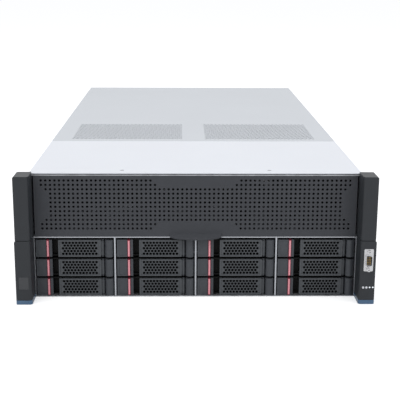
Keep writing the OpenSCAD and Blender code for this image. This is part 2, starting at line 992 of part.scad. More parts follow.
// Memory slots with their modules on both sides of a processor
module memory_bank(x0) {
    for (k = [0:bank_slots - 1])
        translate([x0 + k * memory_pitch, 0, 0]) {
            cube([slot_body_w, memory_l + 8, 8]);
            translate([slot_body_w / 2 - 0.7, 4, 8])
                cube([1.4, memory_l, memory_h]);
        }
}

module system_board() {
    color([0.1, 0.3, 0.2]) in_case()
        translate([0, board_y, 0]) {
            block([-board_w / 2, 0, board_z], [board_w / 2, board_l, board_z + board_t]);
            for (x = [-0.45, 0, 0.45], y = [0.05, 0.5, 0.95])
                translate([x * board_w, y * board_l, tray_t])
                    cylinder(d = 6, h = standoff_h);
            for (s = [-1, 1])
                translate([s * board_w / 4 - 38, 40, board_z + board_t])
                    cube([76, memory_l, 5]);
            translate([0, 38, board_z + board_t])
                for (x0 = [-board_w / 2 + 0.5, -bank_w / 2, board_w / 2 - bank_w - 0.5])
                    memory_bank(x0);
        }
}

// Processor heatsink: a base with upright fins
module heatsink() {
    fins = 20;
    w = 74;
    l = 108;
    cube([w, l, 6]);
    for (k = [0:fins - 1])
        translate([k * (w - 1) / (fins - 1), 0, 6])
            cube([1, l, heatsink_h - 6]);
}

module cpu_heatsinks() {
    color("lightgray") in_case()
        for (s = [-1, 1])
            translate([s * board_w / 4 - 37, board_y + 52, board_z + board_t + 5])
                heatsink();
}

function card_x(n) = (n - (cards - 1) / 2) * card_pitch;

// Graphics card: an open duct with fins, on its slot, with a slotted bracket
module graphics_card() {
    fins = 5;
    wall = 1.5;
    w = card_w;
    difference() {
        translate([-w / 2, card_y, card_z])
            cube([w, card_l, card_h]);
        translate([-w / 2 + wall, card_y - 1, card_z + wall])
            cube([w - 3 * wall, card_l + 2, card_h - 2 * wall]);
    }
    for (k = [1:fins])
        translate([-w / 2 + k * w / (fins + 1) - 0.5, card_y + 12, card_z])
            cube([0.8, card_l - 24, card_h]);
    // slot
    translate([-4, card_y + 60, card_board_z + board_t])
        cube([8, 89, 6]);
    upright(rear_y - 1.2, 1)
        difference() {
            translate([-w / 2 - 0.5, card_z - 6])
                square([w + 1, card_h + 8]);
            for (j = [0:12])
                translate([0, card_z + 6 + j * 7.5])
                    slot(w - 10, 3.6);
        }
}

module gpu_cards() {
    color([0.2, 0.21, 0.22]) in_case() {
        block([-inner_x + 10, shelf_y + 4, card_board_z], [inner_x - 10, rear_y - 10, card_board_z + board_t]);
        for (x = [-0.9, 0, 0.9], y = [14, 150, 270])
            translate([x * (inner_x - 10), shelf_y + y, shelf_z + tray_t])
                cylinder(d = 6, h = card_board_z - shelf_z - tray_t);
        for (n = [0:cards - 1])
            translate([card_x(n), 0, 0])
                graphics_card();
    }
}

// ---- Power supplies ----

function supply_x(n) = -inner_x + 3.5 + (n + 0.5) * supply_pitch - 0.5;

// Handle bar of a supply, drawn in plan
module supply_handle() {
    w = 34;
    bar = 4;
    difference() {
        union() {
            translate([-w / 2, -1])
                square([w, handle_proud - 4]);
            translate([0, handle_proud - 5])
                round_rect(w, 10, 4);
        }
        translate([-w / 2 + bar, -2])
            square([w - 2 * bar, handle_proud - bar + 2]);
    }
}

module power_supply(n) {
    color("silver") in_case()
        translate([supply_x(n), supply_y, supply_z]) {
            difference() {
                translate([-supply_w / 2, 0, 0])
                    cube([supply_w, supply_l, supply_h]);
                // well of the power inlet
                translate([-supply_w / 2 + 6, supply_l - 14, 8])
                    cube([28, 15, 22]);
                // fan opening
                translate([supply_w / 2 - 20, supply_l - 3, supply_h / 2])
                    rotate([-90, 0, 0])
                        cylinder(d = 34, h = 4);
            }
            // inlet's tongue
            translate([-supply_w / 2 + 12, supply_l - 15, 14])
                cube([16, 9, 10]);
            translate([-6, supply_l, supply_h - 9])
                linear_extrude(4)
                    supply_handle();
        }
}

// ---- Drawing ----

chassis_tray();
rear_panel();
front_cover();
rear_cover();
front_grille();
upper_ears();
lower_ear_left();
lower_ear_right();
ear_tips();
vga_port();
power_button();
id_button();
drive_cage();
drive_backplane();
for (n = [1:drives]) {
    drive_carrier(n - 1);
    carrier_lever(n - 1);
    carrier_latch(n - 1);
}
fan_wall();
for (n = [1:3])
    fan_rotor(n - 1);
system_board();
cpu_heatsinks();
gpu_cards();
for (n = [1:supplies])
    power_supply(n - 1);
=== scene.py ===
import json
import logging
import math
import random
from dataclasses import dataclass
from enum import Enum

import bmesh
import bpy
from mathutils import Matrix, Vector


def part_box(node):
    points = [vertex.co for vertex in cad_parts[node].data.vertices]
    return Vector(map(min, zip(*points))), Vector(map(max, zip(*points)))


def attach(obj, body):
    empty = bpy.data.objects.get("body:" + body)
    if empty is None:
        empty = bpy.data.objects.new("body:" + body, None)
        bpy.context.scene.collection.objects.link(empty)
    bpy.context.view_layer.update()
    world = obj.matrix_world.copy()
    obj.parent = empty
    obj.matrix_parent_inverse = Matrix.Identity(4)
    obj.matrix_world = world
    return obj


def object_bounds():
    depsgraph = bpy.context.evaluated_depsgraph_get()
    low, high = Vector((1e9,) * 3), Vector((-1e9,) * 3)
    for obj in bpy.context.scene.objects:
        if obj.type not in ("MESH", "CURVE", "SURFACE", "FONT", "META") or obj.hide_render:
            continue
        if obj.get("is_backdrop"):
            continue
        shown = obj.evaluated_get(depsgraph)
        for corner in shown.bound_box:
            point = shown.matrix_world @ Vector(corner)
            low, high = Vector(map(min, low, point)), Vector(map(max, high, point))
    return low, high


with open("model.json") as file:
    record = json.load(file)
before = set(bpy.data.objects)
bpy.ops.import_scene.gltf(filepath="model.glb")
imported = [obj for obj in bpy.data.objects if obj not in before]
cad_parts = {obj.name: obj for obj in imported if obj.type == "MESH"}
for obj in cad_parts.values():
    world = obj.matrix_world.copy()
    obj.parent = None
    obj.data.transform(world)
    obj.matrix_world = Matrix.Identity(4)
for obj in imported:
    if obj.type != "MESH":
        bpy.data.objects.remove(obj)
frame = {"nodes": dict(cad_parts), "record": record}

MM = 0.001
LOG = logging.getLogger("rack_server")
Colour = tuple[float, float, float]
Point = tuple[float, float, float]


class Axis(Enum):
    """Names an axis of the server's own frame."""

    X = 0
    Y = 1
    Z = 2


def linear(colour: Colour) -> tuple[float, float, float, float]:
    """Turns a colour written as 0 to 255 into the linear values that shaders take.

    Args:
        colour: Red, green and blue from 0 to 255.

    Returns:
        Linear red, green, blue and an alpha of 1.
    """
    parts = []
    for value in colour:
        share = value / 255
        parts.append(share / 12.92 if share <= 0.04045 else ((share + 0.055) / 1.055) ** 2.4)
    return (parts[0], parts[1], parts[2], 1.0)


def shade(colour: Colour, factor: float) -> Colour:
    """Returns the colour made lighter or darker by a factor."""
    return tuple(min(255.0, value * factor) for value in colour)


# ---- Finishes ----


class Sheet:
    """Holds one material's nodes and adds to them."""

    def __init__(self, material: bpy.types.Material) -> None:
        """Clears the material and gives it an output node."""
        material.use_nodes = True
        self.tree = material.node_tree
        self.tree.nodes.clear()
        self.output = self.tree.nodes.new("ShaderNodeOutputMaterial")
        self.coordinates = self.tree.nodes.new("ShaderNodeTexCoord")

    def node(self, kind: str, **settings: object) -> bpy.types.Node:
        """Adds a node and sets its plain properties.

        Args:
            kind: Blender's name for the node type.
            settings: Properties of the node by name.

        Returns:
            The new node.
        """
        made = self.tree.nodes.new(kind)
        for name, value in settings.items():
            setattr(made, name, value)
        return made

    def join(self, source: bpy.types.NodeSocket, target: bpy.types.NodeSocket) -> None:
        """Links two sockets."""
        self.tree.links.new(source, target)

    def place(self, stretch: Point = (1, 1, 1)) -> bpy.types.NodeSocket:
        """Gives the object's own coordinates, stretched along each axis.

        Args:
            stretch: Factor for each axis.

        Returns:
            The socket that holds the coordinates.
        """
        mapping = self.node("ShaderNodeMapping")
        mapping.inputs["Scale"].default_value = stretch
        self.join(self.coordinates.outputs["Object"], mapping.inputs["Vector"])
        return mapping.outputs["Vector"]

    def noise(self, size: float, detail: float = 3, stretch: Point = (1, 1, 1)) -> bpy.types.NodeSocket:
        """Adds soft noise.

        Args:
            size: Size of the noise's features in metres.
            detail: How many finer layers it has.
            stretch: Factor for each axis.

        Returns:
            The socket with a value from 0 to 1.
        """
        made = self.node("ShaderNodeTexNoise")
        made.inputs["Scale"].default_value = 1 / size
        made.inputs["Detail"].default_value = detail
        self.join(self.place(stretch), made.inputs["Vector"])
        return made.outputs["Fac"]

    def ramp(self, source: bpy.types.NodeSocket, low: float, high: float) -> bpy.types.NodeSocket:
        """Maps a value from 0..1 to low..high.

        Args:
            source: Socket with the value.
            low: Result at 0.
            high: Result at 1.

        Returns:
            The socket with the mapped value.
        """
        made = self.node("ShaderNodeMapRange")
        made.inputs["To Min"].default_value = low
        made.inputs["To Max"].default_value = high
        self.join(source, made.inputs["Value"])
        return made.outputs["Result"]

    def blend(self, share: bpy.types.NodeSocket, low: Colour, high: Colour) -> bpy.types.NodeSocket:
        """Blends two colours by a value.

        Args:
            share: Socket with the share of the second colour.
            low: Colour at 0, written as 0 to 255.
            high: Colour at 1, written as 0 to 255.

        Returns:
            The socket with the colour.
        """
        made = self.node("ShaderNodeMix", data_type="RGBA")
        made.inputs[6].default_value = linear(low)
        made.inputs[7].default_value = linear(high)
        self.join(share, made.inputs[0])
        return made.outputs[2]

    def relief(self, height: bpy.types.NodeSocket, depth: float) -> bpy.types.NodeSocket:
        """Turns a height into a bump.

        Args:
            height: Socket with the height from 0 to 1.
            depth: Height of the bump in metres.

        Returns:
            The socket with the normal.
        """
        made = self.node("ShaderNodeBump")
        made.inputs["Distance"].default_value = depth
        made.inputs["Strength"].default_value = 1.0
        self.join(height, made.inputs["Height"])
        return made.outputs["Normal"]

    def beyond(self, axis: Axis, level: float) -> bpy.types.NodeSocket:
        """Marks what lies beyond a plane.

        Args:
            axis: Axis that the plane stands across.
            level: Where the plane stands on it, in metres.

        Returns:
            The socket with 1 beyond the plane and 0 before it.
        """
        split = self.node("ShaderNodeSeparateXYZ")
        self.join(self.coordinates.outputs["Object"], split.inputs["Vector"])
        test = self.node("ShaderNodeMath", operation="GREATER_THAN")
        test.inputs[1].default_value = level
        self.join(split.outputs[axis.value], test.inputs[0])
        return test.outputs["Value"]


@dataclass(frozen=True)
class Finish:
    """Moulded or coated surface with mottling and a fine grain."""

    name: str
    colour: Colour
    metallic: float = 0.0
    roughness: float = 0.5
    spread: float = 0.08
    mottle: float = 6 * MM
    grain: float = 0.5 * MM
    depth: float = 0.02 * MM
    specular: float = 0.5
    coat: float = 0.0

    def principled(self, sheet: Sheet) -> bpy.types.Node:
        """Adds the shader with the values that are the same all over."""
        made = sheet.node("ShaderNodeBsdfPrincipled")
        made.inputs["Metallic"].default_value = self.metallic
        made.inputs["Roughness"].default_value = self.roughness
        made.inputs["Specular IOR Level"].default_value = self.specular
        made.inputs["Coat Weight"].default_value = self.coat
        made.inputs["Coat Roughness"].default_value = 0.12
        return made

    def tones(self, sheet: Sheet, share: bpy.types.NodeSocket) -> bpy.types.NodeSocket:
        """Blends the darker and the lighter tone of the colour by a value."""
        return sheet.blend(share, shade(self.colour, 1 - self.spread), shade(self.colour, 1 + self.spread))

    def shader(self, sheet: Sheet) -> bpy.types.NodeSocket:
        """Adds this finish's shader to a material.

        Args:
            sheet: Nodes of the material.

        Returns:
            The shader's socket.
        """
        made = self.principled(sheet)
        mottle = sheet.noise(self.mottle, 4)
        sheet.join(self.tones(sheet, mottle), made.inputs["Base Color"])
        sheet.join(sheet.ramp(mottle, self.roughness - 0.06, self.roughness + 0.06), made.inputs["Roughness"])
        grain = sheet.noise(self.grain, 2)
        sheet.join(sheet.relief(grain, self.depth), made.inputs["Normal"])
        return made.outputs["BSDF"]

    def material(self) -> bpy.types.Material:
        """Returns the finish's material, which is made the first time."""
        ready = bpy.data.materials.get(self.name)
        if ready:
            return ready
        made = bpy.data.materials.new(self.name)
        sheet = Sheet(made)
        sheet.join(self.shader(sheet), sheet.output.inputs["Surface"])
        made.diffuse_color = linear(self.colour)
        made.metallic = self.metallic
        made.roughness = self.roughness
        return made


@dataclass(frozen=True)
class Brushed(Finish):
    """Metal with a grain that runs along one axis."""

    along: Axis = Axis.Y
    stretch: float = 0.04

    def shader(self, sheet: Sheet) -> bpy.types.NodeSocket:
        """Adds the brushed shader.

        Args:
            sheet: Nodes of the material.

        Returns:
            The shader's socket.
        """
        made = self.principled(sheet)
        scale = [1.0, 1.0, 1.0]
        scale[self.along.value] = self.stretch
        lines = sheet.noise(self.grain, 3, tuple(scale))
        cloud = sheet.noise(self.mottle, 2)
        total = sheet.node("ShaderNodeMix", data_type="FLOAT")
        total.inputs[0].default_value = 0.5
        sheet.join(lines, total.inputs[2])
        sheet.join(cloud, total.inputs[3])
        sheet.join(self.tones(sheet, total.outputs[0]), made.inputs["Base Color"])
        sheet.join(sheet.ramp(lines, self.roughness - 0.08, self.roughness + 0.1), made.inputs["Roughness"])
        sheet.join(sheet.relief(lines, self.depth), made.inputs["Normal"])
        return made.outputs["BSDF"]


@dataclass(frozen=True)
class Spangled(Finish):
    """Zinc-coated sheet with its crystal flakes."""

    flake: float = 7 * MM

    def shader(self, sheet: Sheet) -> bpy.types.NodeSocket:
        """Adds the spangled shader.

        Args:
            sheet: Nodes of the material.

        Returns:
            The shader's socket.
        """
        made = self.principled(sheet)
        cells = sheet.node("ShaderNodeTexVoronoi")
        cells.inputs["Scale"].default_value = 1 / self.flake
        cells.inputs["Randomness"].default_value = 1.0
        sheet.join(sheet.place(), cells.inputs["Vector"])
        split = sheet.node("ShaderNodeSeparateColor")
        sheet.join(cells.outputs["Color"], split.inputs["Color"])
        sheet.join(self.tones(sheet, split.outputs[0]), made.inputs["Base Color"])
        sheet.join(sheet.ramp(split.outputs[1], self.roughness - 0.1, self.roughness + 0.1), made.inputs["Roughness"])
        sheet.join(sheet.relief(sheet.noise(self.grain, 3), self.depth), made.inputs["Normal"])
        return made.outputs["BSDF"]


@dataclass(frozen=True)
class Lacquered(Finish):
    """Circuit board with the shadow of its tracks under the lacquer."""

    track: float = 2.2 * MM

    def shader(self, sheet: Sheet) -> bpy.types.NodeSocket:
        """Adds the circuit board shader.

        Args:
            sheet: Nodes of the material.

        Returns:
            The shader's socket.
        """
        made = self.principled(sheet)
        tracks = sheet.node("ShaderNodeTexBrick", offset=0.37, squash=0.6)
        tracks.inputs["Scale"].default_value = 1 / (self.track * 6)
        tracks.inputs["Mortar Size"].default_value = 0.035
        tracks.inputs["Color1"].default_value = linear(self.colour)
        tracks.inputs["Color2"].default_value = linear(shade(self.colour, 0.86))
        tracks.inputs["Mortar"].default_value = linear(shade(self.colour, 1.45))
        sheet.join(sheet.place(), tracks.inputs["Vector"])
        sheet.join(tracks.outputs["Color"], made.inputs["Base Color"])
        sheet.join(sheet.relief(sheet.noise(self.grain, 2), self.depth), made.inputs["Normal"])
        return made.outputs["BSDF"]


@dataclass(frozen=True)
class Glowing(Finish):
    """Small lens that a lamp lights faintly from behind."""

    light: float = 0.4

    def principled(self, sheet: Sheet) -> bpy.types.Node:
        """Adds the shader with its faint light."""
        made = super().principled(sheet)
        made.inputs["Emission Color"].default_value = linear(self.colour)
        made.inputs["Emission Strength"].default_value = self.light
        return made


@dataclass(frozen=True)
class Zoned(Finish):
    """Two finishes on one solid, which meet at a plane."""

    near: Finish | None = None
    far: Finish | None = None
    axis: Axis = Axis.Y
    level: float = 0.0

    def shader(self, sheet: Sheet) -> bpy.types.NodeSocket:
        """Adds both finishes and the plane between them.

        Args:
            sheet: Nodes of the material.

        Returns:
            The shader's socket.
        """
        mixed = sheet.node("ShaderNodeMixShader")
        sheet.join(sheet.beyond(self.axis, self.level), mixed.inputs[0])
        sheet.join(self.near.shader(sheet), mixed.inputs[1])
        sheet.join(self.far.shader(sheet), mixed.inputs[2])
        return mixed.outputs["Shader"]


COVER_FRONT = Brushed("cover_front_coat", (231, 234, 241), 0.15, 0.42, 0.02, 0.12, 0.6 * MM, 0.004 * MM)
COVER_REAR = Brushed("cover_rear_coat", (206, 210, 216), 0.25, 0.45, 0.02, 0.12, 0.6 * MM, 0.004 * MM)
ZINC = Spangled("zinc_sheet_coat", (176, 178, 182), 0.85, 0.42, 0.07, 8 * MM, 0.6 * MM, 0.01 * MM)
CAGE = Brushed("cage_sheet", (190, 193, 199), 0.45, 0.4, 0.05, 30 * MM, 0.5 * MM, 0.008 * MM)
GRILLE = Finish("grille_powder", (60, 62, 67), 0.0, 0.56, 0.07, 9 * MM, 0.35 * MM, 0.03 * MM, 0.35)
EAR = Finish("ear_moulding", (42, 45, 49), 0.0, 0.46, 0.06, 12 * MM, 0.3 * MM, 0.02 * MM, 0.4)
TIP = Finish("tip_moulding", (62, 96, 128), 0.0, 0.22, 0.12, 5 * MM, 0.6 * MM, 0.01 * MM, 0.6, 0.6)
NICKEL = Brushed("nickel_plate", (214, 214, 216), 0.9, 0.24, 0.04, 4 * MM, 0.3 * MM, 0.004 * MM)
BUTTON = Finish("button_moulding", (214, 216, 222), 0.0, 0.3, 0.03, 2 * MM, 0.3 * MM, 0.005 * MM)
BOARD = Lacquered("board_lacquer", (26, 74, 52), 0.0, 0.34, 0.05, 5 * MM, 0.5 * MM, 0.01 * MM, 0.5, 0.3)
CARRIER = Finish("carrier_moulding", (67, 70, 75), 0.0, 0.44, 0.08, 6 * MM, 0.3 * MM, 0.02 * MM, 0.4)
LEVER = Finish("lever_moulding", (76, 79, 83), 0.0, 0.42, 0.08, 5 * MM, 0.3 * MM, 0.02 * MM, 0.4)
LATCH = Finish("latch_moulding", (150, 58, 74), 0.0, 0.36, 0.05, 3 * MM, 0.3 * MM, 0.01 * MM, 0.4)
LATCH_FACE = Finish("latch_face", (238, 158, 168), 0.0, 0.32, 0.04, 3 * MM, 0.3 * MM, 0.005 * MM, 0.5)
# Near-black painted shade: it stands in for the shade inside the carriers' recesses and along their hidden sides.
PAINTED_SHADE = Finish("carrier_painted_shade", (13, 13, 14), 0.0, 0.6, 0.06, 4 * MM, 0.3 * MM, 0.01 * MM, 0.2)
DRIVE = Brushed("drive_casting", (150, 152, 156), 0.7, 0.44, 0.06, 9 * MM, 0.5 * MM, 0.02 * MM)
FAN = Finish("fan_moulding", (34, 35, 37), 0.0, 0.42, 0.06, 5 * MM, 0.4 * MM, 0.02 * MM)
HEATSINK = Brushed("heatsink_metal", (186, 188, 192), 0.9, 0.32, 0.04, 8 * MM, 0.3 * MM, 0.01 * MM)
SHROUD = Finish("card_shroud", (38, 39, 43), 0.0, 0.4, 0.06, 8 * MM, 0.4 * MM, 0.02 * MM)
SUPPLY = Spangled("supply_sheet", (172, 174, 178), 0.85, 0.38, 0.06, 8 * MM, 0.5 * MM, 0.01 * MM)
BLACK = Finish("black_moulding", (24, 25, 27), 0.0, 0.45, 0.06, 3 * MM, 0.3 * MM, 0.02 * MM)
GOLD = Brushed("gold_plate", (214, 176, 96), 0.95, 0.26, 0.03, 2 * MM, 0.2 * MM, 0.002 * MM)
SCREW = Brushed("screw_steel", (150, 152, 156), 0.9, 0.3, 0.06, 2 * MM, 0.2 * MM, 0.006 * MM, along=Axis.X)
INLAY = Finish("inlay_lacquer", (50, 52, 56), 0.0, 0.2, 0.03, 4 * MM, 0.8 * MM, 0.003 * MM, 0.5, 0.4)
LAMP = Glowing("lamp_lens", (226, 232, 238), 0.0, 0.2, 0.02, 1 * MM, 0.3 * MM, 0.002 * MM)


# ---- Shapes ----


def stand(spot: Point, facing: Axis, flip: bool = False) -> Matrix:
    """Gives the place of a shape that is drawn round its own Z axis.

    Args:
        spot: Where its zero goes, in metres.
        facing: Axis that its Z axis turns to.
        flip: True if it turns to that axis's low side.

    Returns:
        The matrix.
    """
    aim = Vector((0, 0, 0))
    aim[facing.value] = -1.0 if flip else 1.0
    turn = Vector((0, 0, 1)).rotation_difference(aim).to_matrix().to_4x4()
    return Matrix.Translation(Vector(spot)) @ turn


class Form:
    """Collects faces for one piece and makes it."""

    def __init__(self, *finishes: Finish) -> None:
        """Starts an empty form that uses these finishes."""
        self.bm = bmesh.new()
        self.finishes = finishes

    def _own(self, faces: list[bmesh.types.BMFace], finish: int) -> None:
        """Gives the faces one of the form's finishes."""
        for face in faces:
            face.material_index = finish

    def block(self, low: Point, high: Point, finish: int = 0, place: Matrix | None = None) -> None:
        """Adds a block between two corners.

        Args:
            low: Lowest corner in metres.
            high: Highest corner in metres.
            finish: Which of the form's finishes it takes.
            place: Where its own frame stands.
        """
        size = Vector(high) - Vector(low)
        middle = (Vector(high) + Vector(low)) / 2
        matrix = (place or Matrix()) @ Matrix.Translation(middle) @ Matrix.Diagonal((*size, 1))
        made = bmesh.ops.create_cube(self.bm, size=1.0, matrix=matrix)
        faces = {face for vert in made["verts"] for face in vert.link_faces}
        self._own(list(faces), finish)

    def lathe(self, profile: list[tuple[float, float]], place: Matrix, steps: int = 24, finish: int = 0) -> None:
        """Adds a turned shape.

        Args:
            profile: Radius and height of each point, in metres, from one end to the other.
            place: Where its own Z axis stands.
            steps: How many sides it has.
            finish: Which of the form's finishes it takes.
        """
        rings = []
        for radius, height in profile:
            if radius < 1e-7:
                rings.append([self.bm.verts.new(place @ Vector((0, 0, height)))])
                continue
            ring = []
            for k in range(steps):
                angle = 2 * math.pi * k / steps
                spot = Vector((radius * math.cos(angle), radius * math.sin(angle), height))
                ring.append(self.bm.verts.new(place @ spot))
            rings.append(ring)
        faces = []
        for lower, upper in zip(rings, rings[1:]):
            for k in range(steps):
                a, b = lower[k % len(lower)], lower[(k + 1) % len(lower)]
                c, d = upper[(k + 1) % len(upper)], upper[k % len(upper)]
                corners = []
                for vert in (a, b, c, d):
                    if vert not in corners:
                        corners.append(vert)
                if len(corners) > 2:
                    faces.append(self.bm.faces.new(corners))
        for ring in (rings[0], rings[-1]):
            if len(ring) > 2:
                faces.append(self.bm.faces.new(ring))
        self._own(faces, finish)

    def prism(self, outline: list[tuple[float, float]], height: float, place: Matrix, finish: int = 0) -> None:
        """Adds a solid with a flat outline.

        Args:
            outline: Corners of the outline in metres.
            height: Its height along its own Z axis, in metres.
            place: Where its own frame stands.
            finish: Which of the form's finishes it takes.
        """
        low = [self.bm.verts.new(place @ Vector((x, y, 0))) for x, y in outline]
        high = [self.bm.verts.new(place @ Vector((x, y, height))) for x, y in outline]
        faces = [self.bm.faces.new(low), self.bm.faces.new(high)]
        for k in range(len(outline)):
            j = (k + 1) % len(outline)
            faces.append(self.bm.faces.new((low[k], low[j], high[j], high[k])))
        self._own(faces, finish)

    def ring(self, radius: float, thick: float, place: Matrix, steps: int = 40, finish: int = 0) -> None:
        """Adds a ring of round wire.

        Args:
            radius: Radius of the ring's centre line in metres.
            thick: Radius of the wire in metres.
            place: Where the ring's own frame stands.
            steps: How many lengths it has.
            finish: Which of the form's finishes it takes.
        """
        sides = 8
        rings = []
        for k in range(steps):
            turn = 2 * math.pi * k / steps
            ring = []
            for side in range(sides):
                angle = 2 * math.pi * side / sides
                reach = radius + thick * math.cos(angle)
                spot = Vector((reach * math.cos(turn), reach * math.sin(turn), thick * math.sin(angle)))
                ring.append(self.bm.verts.new(place @ spot))
            rings.append(ring)
        faces = []
        for k in range(steps):
            now, after = rings[k], rings[(k + 1) % steps]
            for side in range(sides):
                other = (side + 1) % sides
                faces.append(self.bm.faces.new((now[side], after[side], after[other], now[other])))
        self._own(faces, finish)

    def piece(self, name: str, body: str, slot: str, bevel: float = 0.0) -> bpy.types.Object:
        """Makes the piece and seats it on its body.

        Args:
            name: Name of the piece.
            body: Body that it moves with.
            slot: Material slot of the record; not used.
            bevel: Width of its rounded edges in metres.

        Returns:
            The new object.
        """
        bmesh.ops.recalc_face_normals(self.bm, faces=self.bm.faces)
        mesh = bpy.data.meshes.new(name)
        self.bm.to_mesh(mesh)
        self.bm.free()
        made = bpy.data.objects.new(name, mesh)
        bpy.context.scene.collection.objects.link(made)
        for finish in self.finishes:
            mesh.materials.append(finish.material())
        soften(made, bevel)
        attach(made, body)
        LOG.info("%s on %s", name, body)
        return made


def soften(piece: bpy.types.Object, bevel: float) -> None:
    """Rounds an object's sharp edges and shades it smooth between them.

    Args:
        piece: The object.
        bevel: Width of the rounding in metres, or 0 for none.
    """
    if bevel > 0:
        rounding = piece.modifiers.new("rounded_edges", "BEVEL")
        rounding.width = bevel
        rounding.segments = 2
        rounding.limit_method = "ANGLE"
        rounding.angle_limit = math.radians(50)
        rounding.harden_normals = False
    mesh = piece.data
    mesh.polygons.foreach_set("use_smooth", [True] * len(mesh.polygons))
    mesh.set_sharp_from_angle(angle=math.radians(38))


def dress(node: str, finish: Finish, bevel: float = 0.0) -> bpy.types.Object:
    """Gives a carried-over solid its finish.

    Args:
        node: Name of the solid.
        finish: Finish that it gets.
        bevel: Width of its rounded edges in metres.

    Returns:
        The solid's object.
    """
    solid = frame["nodes"][node]
    material = finish.material()
    if solid.data.materials:
        for index in range(len(solid.data.materials)):
            solid.data.materials[index] = material
    else:
        solid.data.materials.append(material)
    soften(solid, bevel)
    LOG.info("%s dressed with %s", node, finish.name)
    return solid


def screw_profile(radius: float, height: float, drive: float) -> list[tuple[float, float]]:
    """Gives the profile of a domed screw head with a round drive recess.

    Args:
        radius: Radius of the head in metres.
        height: Height of the head in metres.
        drive: Radius of the recess in metres.

    Returns:
        Radius and height of each point.
    """
    return [
        (0.0, height * 0.25),
        (drive * 0.9, height * 0.3),
        (drive, height * 0.95),
        (drive * 1.2, height),
        (radius * 0.7, height * 0.88),
        (radius * 0.93, height * 0.5),
        (radius, 0.0),
    ]


def stud_profile(radius: float, height: float) -> list[tuple[float, float]]:
    """Gives the profile of a small flat stud."""
    return [(radius, 0.0), (radius, height), (0.0, height)]


# ---- Sub-assemblies ----


@dataclass
class Covers:
    """Front and rear top covers with their screws."""

    screw_apart: float = 100 * MM
    screw_set: float = 18 * MM
    seat_depth: float = 0.45 * MM
    head: float = 2.8 * MM
    head_rise: float = 0.5 * MM
    drive: float = 1.3 * MM
    skirt_head: float = 2.6 * MM
    skirt_rise: float = 0.9 * MM
    skirt_drive: float = 1.2 * MM
    skirt_drop: float = 6.5 * MM

    def build(self) -> None:
        """Dresses both covers and adds their screws."""
        dress("front_cover", COVER_FRONT, 0.35 * MM)
        dress("rear_cover", COVER_REAR)
        low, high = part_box("front_cover")
        form = Form(SCREW)
        for side in (-1, 1):
            spot = (side * self.screw_apart, low.y + self.screw_set, high.z - self.seat_depth)
            form.lathe(screw_profile(self.head, self.head_rise, self.drive), stand(spot, Axis.Z), 24)
        self.skirt_screws(form, low, high, (0.12, 0.88))
        form.piece("front_cover_screws", "front_cover", "zinc_sheet")
        low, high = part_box("rear_cover")
        form = Form(SCREW)
        self.skirt_screws(form, low, high, (0.06, 0.36, 0.66, 0.96))
        form.piece("rear_cover_screws", "rear_cover", "zinc_sheet")

    def skirt_screws(self, form: Form, low: Vector, high: Vector, shares: tuple[float, ...]) -> None:
        """Adds the small screws in both skirts of a cover.

        Args:
            form: Form that collects them.
            low: Lowest corner of the cover.
            high: Highest corner of the cover.
            shares: Where they stand along the cover, from 0 to 1.
        """
        profile = screw_profile(self.skirt_head, self.skirt_rise, self.skirt_drive)
        for share in shares:
            y = low.y + share * (high.y - low.y)
            for edge, flip in ((low.x, True), (high.x, False)):
                form.lathe(profile, stand((edge, y, high.z - self.skirt_drop), Axis.X, flip), 20)


@dataclass
class Chassis:
    """Base tray and rear panel with the fasteners and sockets in them."""

    rivet: float = 2.4 * MM
    rivet_rise: float = 0.6 * MM
    wall_t: float = 1.2 * MM

    def build(self) -> None:
        """Dresses the tray and the rear panel and adds their small parts."""
        dress("chassis_tray", ZINC)
        dress("rear_panel", ZINC)
        self.rivets()
        self.socket_blocks()

    def rivets(self) -> None:
        """Adds the rivets along both walls, over the fans, the shelf and the panel."""
        low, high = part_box("chassis_tray")
        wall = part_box("rear_panel")[1].x + self.wall_t
        form = Form(SCREW)
        profile = [
            (self.rivet, 0.0),
            (self.rivet * 0.92, self.rivet_rise * 0.6),
            (self.rivet * 0.5, self.rivet_rise),
            (0.0, self.rivet_rise),
        ]
        outer, shelf = (16, 150), (46, 60)
        rows = ((0.20, outer), (0.235, outer), (0.66, shelf), (0.8, shelf), (0.94, shelf), (0.985, outer))
        for share, heights in rows:
            y = low.y + share * (high.y - low.y)
            for height in heights:
                for side in (-1, 1):
                    form.lathe(profile, stand((side * wall, y, height * MM), Axis.X, side < 0), 16)
        form.piece("chassis_rivets", "case", "zinc_sheet")

    def socket_blocks(self) -> None:
        """Adds the moulded inserts with their contacts in the rear sockets."""
        form = Form(BLACK, GOLD)
        for opening in frame["record"]["physics"]["openings"]:
            if not opening["name"].startswith("rear_socket"):
                continue
            (x0, y0, z0), (x1, y1, z1) = opening["box_m"]
            middle = (x0 + x1) / 2
            if x1 - x0 > 20 * MM:
                form.block((x0 + 1 * MM, y0, z0 + 1 * MM), (x1 - 1 * MM, y1 - 5 * MM, z1 - 1 * MM))
                for row in range(3):
                    for k in range(5):
                        height = (z0 + z1) / 2 + (row - 1) * 2.2 * MM
                        spot = (middle + (k - 2) * 2.6 * MM, y1 - 5.1 * MM, height)
                        form.lathe(stud_profile(0.5 * MM, 0.5 * MM), stand(spot, Axis.Y), 10, 1)
            elif z1 - z0 > 12 * MM:
                for height in (0.27, 0.73):
                    z = z0 + height * (z1 - z0)
                    form.block((x0 + 1 * MM, y0, z - 0.9 * MM), (x1 - 1 * MM, y1 - 2 * MM, z + 0.9 * MM))
            else:
                form.block((x0, y0, z0), (x1, y0 + 3 * MM, z1))
                for k in range(8):
                    x = middle + (k - 3.5) * 1.25 * MM
                    near, far = (x - 0.3 * MM, y0 + 3 * MM, z1 - 2.2 * MM), (x + 0.3 * MM, y1 - 3 * MM, z1 - 1.6 * MM)
                    form.block(near, far, 1)
        form.piece("rear_socket_blocks", "case", "circuit_green", 0.15 * MM)


